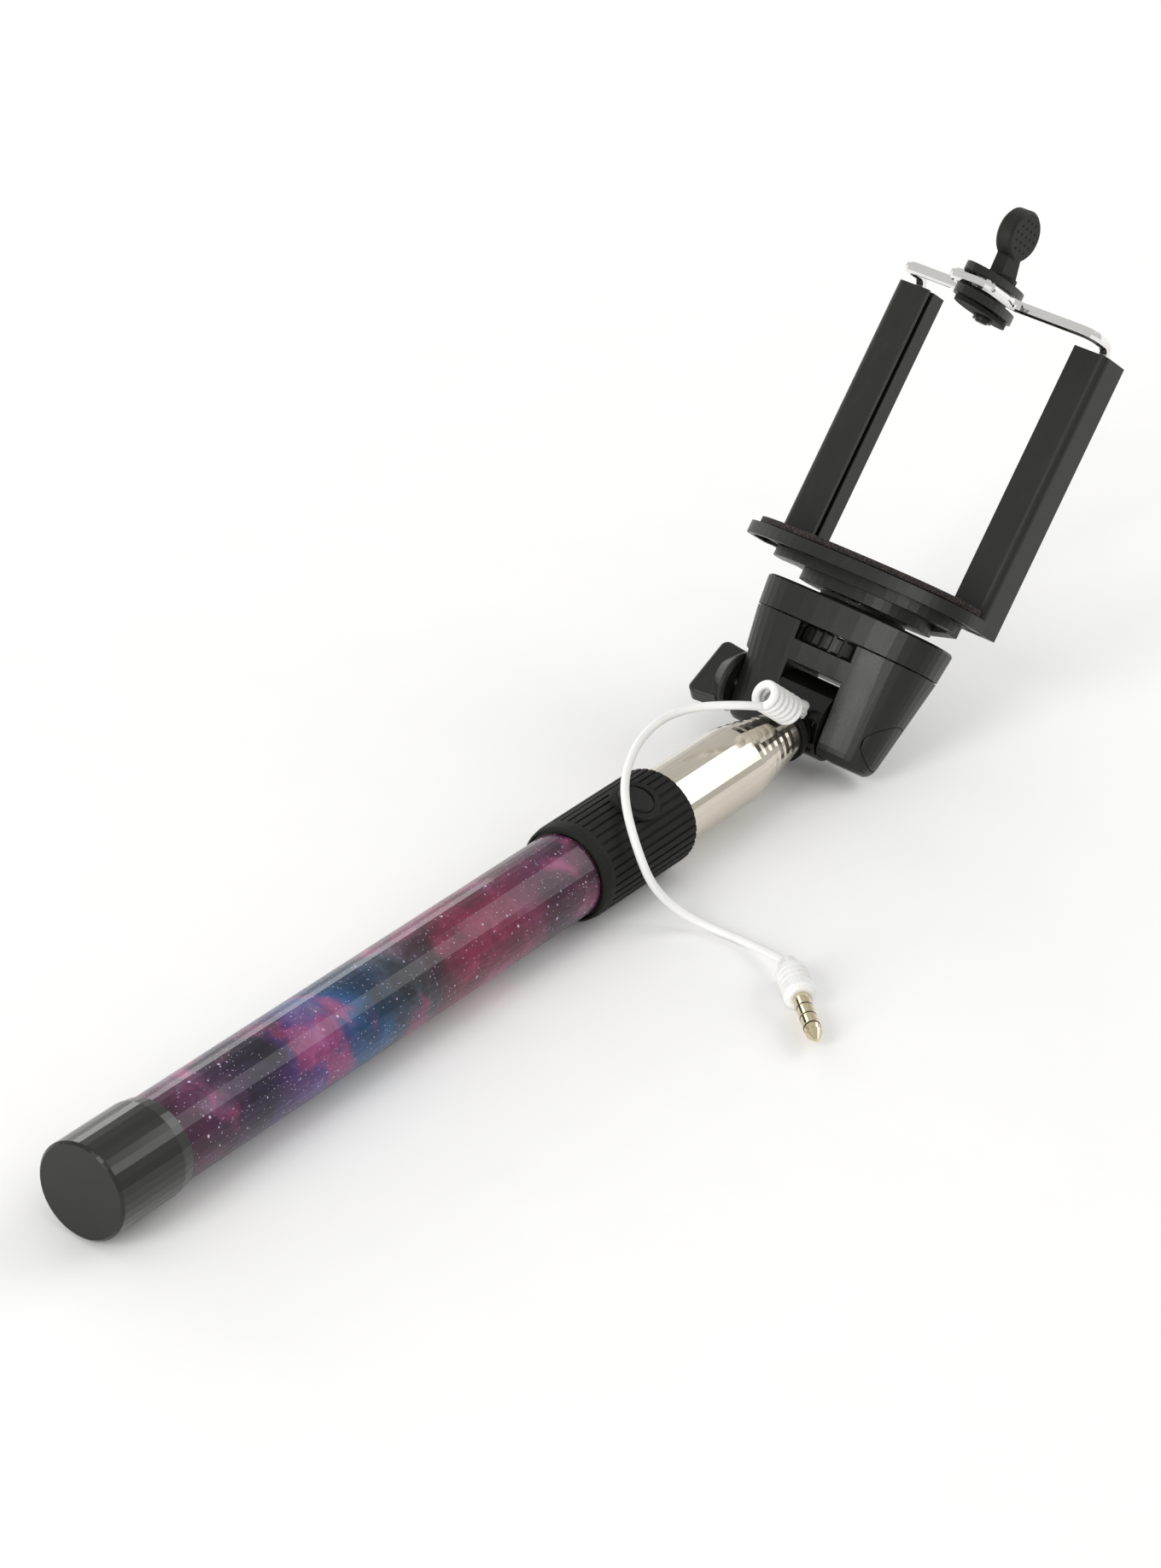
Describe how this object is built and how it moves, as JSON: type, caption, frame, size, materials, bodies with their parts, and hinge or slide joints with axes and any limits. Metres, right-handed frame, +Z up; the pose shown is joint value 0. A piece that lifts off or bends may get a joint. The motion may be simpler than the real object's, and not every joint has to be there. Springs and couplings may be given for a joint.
{
  "type": "telescopic selfie stick",
  "caption": "Telescopic stick with a printed handle, shutter button, nested steel sections, tilting head, sprung phone clamp and a short wired lead with a plug.",
  "frame": {"origin": "bottom centre of the object without its lead, on the surface it lies on", "axes": "+X along the stick from the end cap to the clamp, +Z up, +Y to the stick's left"},
  "size_m": [0.301, 0.0939, 0.1084],
  "materials": {
    "gloss_black": "polished black moulding",
    "satin_black": "satin black moulding with a fine grain",
    "rubber_black": "matt black rubber",
    "pad_brown": "matt brown-black foam rubber",
    "print": "glossy printed film of a purple and blue nebula with small stars",
    "steel": "polished stainless steel, slightly warm",
    "chrome": "bright plated wire",
    "zinc": "plain plated steel",
    "brass": "turned brass",
    "plug_metal": "gold-flashed contacts",
    "board": "green circuit board",
    "white": "smooth white flexible plastic"
  },
  "bodies": {
    "handle": {"end_cap": "gloss_black", "handle_sleeve": "print", "tube_1": "steel", "collar_carrier": "rubber_black", "collar_grip": "rubber_black", "switch_board": "board", "snap_dome": "zinc", "inner_lead_coil": "rubber_black"},
    "button": {"shutter_button": "rubber_black"},
    "section_2": {"tube_2": "steel"},
    "section_3": {"tube_3": "steel"},
    "section_4": {"tube_4": "steel"},
    "section_5": {"tube_5": "steel"},
    "section_6": {"tube_6": "steel"},
    "section_7": {"tube_7": "steel", "stem_washer": "rubber_black", "stem_knuckle": "satin_black", "cord_bush": "white", "cord_link": "white", "cord_coil": "white", "cord_lead": "white", "plug_grip": "white", "plug_contacts": "plug_metal", "plug_ring_1": "rubber_black", "plug_ring_2": "rubber_black", "plug_ring_3": "rubber_black"},
    "head": {"head_shell": "satin_black", "head_cap": "satin_black", "head_screw_left": "zinc", "head_screw_right": "zinc", "top_pad": "rubber_black", "thrust_washer": "zinc", "pivot_nut": "zinc", "pivot_cover": "satin_black"},
    "wing_bolt": {"wing_knob": "satin_black", "pivot_bolt": "zinc"},
    "wheel": {"thumbwheel": "satin_black", "tripod_screw": "zinc"},
    "clamp": {"clamp_base": "satin_black", "threaded_insert": "brass", "base_pad": "pad_brown", "rail_left": "satin_black", "rail_right": "satin_black", "bush_left": "satin_black", "bush_right": "satin_black", "spring_left": "zinc", "spring_right": "zinc"},
    "jaw": {"wire_frame": "chrome", "foot_left": "zinc", "foot_right": "zinc", "jaw_upper": "satin_black", "jaw_lower": "satin_black", "jaw_pad": "rubber_black"},
    "tab": {"tab_grip": "rubber_black", "post_clip": "satin_black"}
  },
  "joints": [
    {"name": "shutter_press", "type": "slide", "parent": "handle", "child": "button", "axis": [0, 0.225, -0.9744], "range_m": [0, 0.0004], "stiffness_N_per_m": 2500, "springref_m": -0.0002},
    {"name": "section_2_slide", "type": "slide", "parent": "handle", "child": "section_2", "axis": [1, 0, 0], "range_m": [0, 0.14]},
    {"name": "section_3_slide", "type": "slide", "parent": "section_2", "child": "section_3", "axis": [1, 0, 0], "range_m": [0, 0.14]},
    {"name": "section_4_slide", "type": "slide", "parent": "section_3", "child": "section_4", "axis": [1, 0, 0], "range_m": [0, 0.14]},
    {"name": "section_5_slide", "type": "slide", "parent": "section_4", "child": "section_5", "axis": [1, 0, 0], "range_m": [0, 0.14]},
    {"name": "section_6_slide", "type": "slide", "parent": "section_5", "child": "section_6", "axis": [1, 0, 0], "range_m": [0, 0.14]},
    {"name": "section_7_slide", "type": "slide", "parent": "section_6", "child": "section_7", "axis": [1, 0, 0], "range_m": [0, 0.14]},
    {"name": "head_tilt", "type": "hinge", "parent": "section_7", "child": "head", "pos_m": [0.08509, -0.00054, 0.0104], "axis": [0, 1, 0], "range_deg": [-30, 135]},
    {"name": "wing_bolt_turn", "type": "hinge", "parent": "head", "child": "wing_bolt", "pos_m": [0.08509, -0.00054, 0.0104], "axis": [0, 1, 0], "continuous": true},
    {"name": "wheel_turn", "type": "hinge", "parent": "head", "child": "wheel", "pos_m": [0.09528, -0.00054, 0.02154], "axis": [0.5878, 0, 0.809], "continuous": true},
    {"name": "clamp_swivel", "type": "hinge", "parent": "head", "child": "clamp", "pos_m": [0.10234, -0.00054, 0.03124], "axis": [0.5878, 0, 0.809], "continuous": true},
    {"name": "jaw_slide", "type": "slide", "parent": "clamp", "child": "jaw", "axis": [0.5878, 0, 0.809], "range_m": [0, 0.025], "stiffness_N_per_m": 160, "springref_m": -0.02, "deforming": ["spring_left", "spring_right"]},
    {"name": "tab_swivel", "type": "hinge", "parent": "jaw", "child": "tab", "pos_m": [0.1398, 0.00041, 0.09426], "axis": [0.5878, 0, 0.809], "continuous": true}
  ]
}
